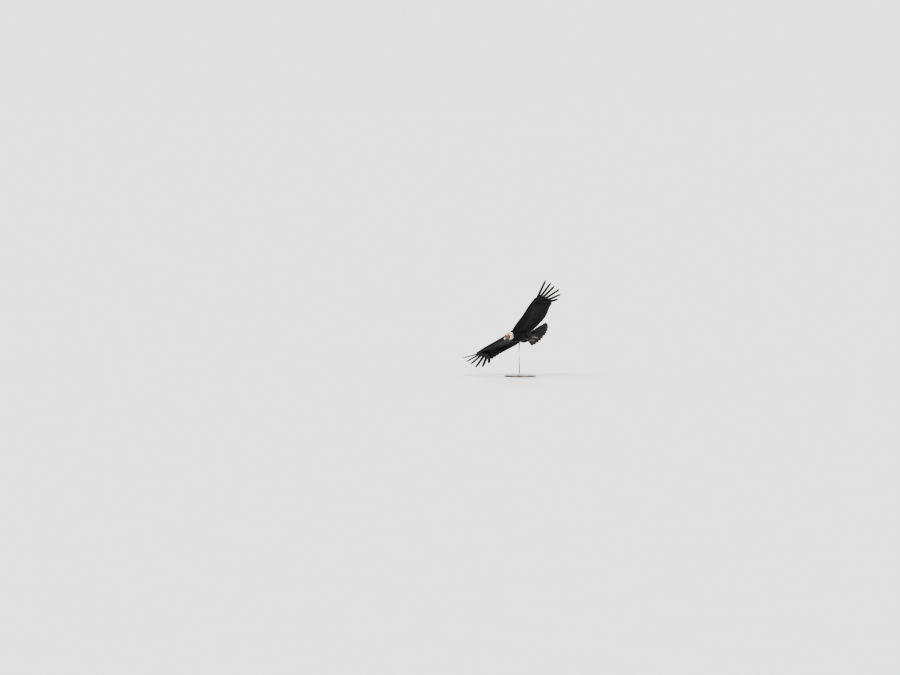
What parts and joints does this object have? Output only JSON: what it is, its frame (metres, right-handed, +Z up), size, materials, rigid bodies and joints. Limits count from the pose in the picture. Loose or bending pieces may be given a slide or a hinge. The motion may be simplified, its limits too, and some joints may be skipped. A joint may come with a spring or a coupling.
{
  "type": "andean condor",
  "caption": "Life-size soaring condor, banked with fingered wings and fanned tail, held over the floor by one rod on a round flat base.",
  "frame": {"origin": "centre of the underside of the display stand's base", "axes": "+Z up; the bird flies towards -Y and its left, raised wing is on +X"},
  "size_m": [2.5431, 1.305, 2.0391],
  "materials": {
    "plumage": "matt with a faint gloss",
    "ruff_down": "soft matt",
    "bare_skin": "folded, dull",
    "comb_skin": "knobbed, dull",
    "horn": "satin horn",
    "eye": "wet",
    "leg_scales": "scaly, dull",
    "base_wood": "dark stain, satin",
    "rod_steel": "brushed"
  },
  "bodies": {
    "root": {"torso": "plumage", "tail": "plumage", "wing_left_arm": "plumage", "wing_left_hand": "plumage", "wing_right_arm": "plumage", "wing_right_hand": "plumage", "leg_left": "plumage", "leg_right": "plumage", "ruff": "ruff_down", "neck": "bare_skin", "head": "bare_skin", "comb": "comb_skin", "bill_upper": "horn", "bill_lower": "horn", "eye_left": "eye", "eye_right": "eye", "foot_left": "leg_scales", "foot_right": "leg_scales", "stand_base": "base_wood", "stand_rod": "rod_steel", "stand_collar": "rod_steel"}
  },
  "joints": []
}
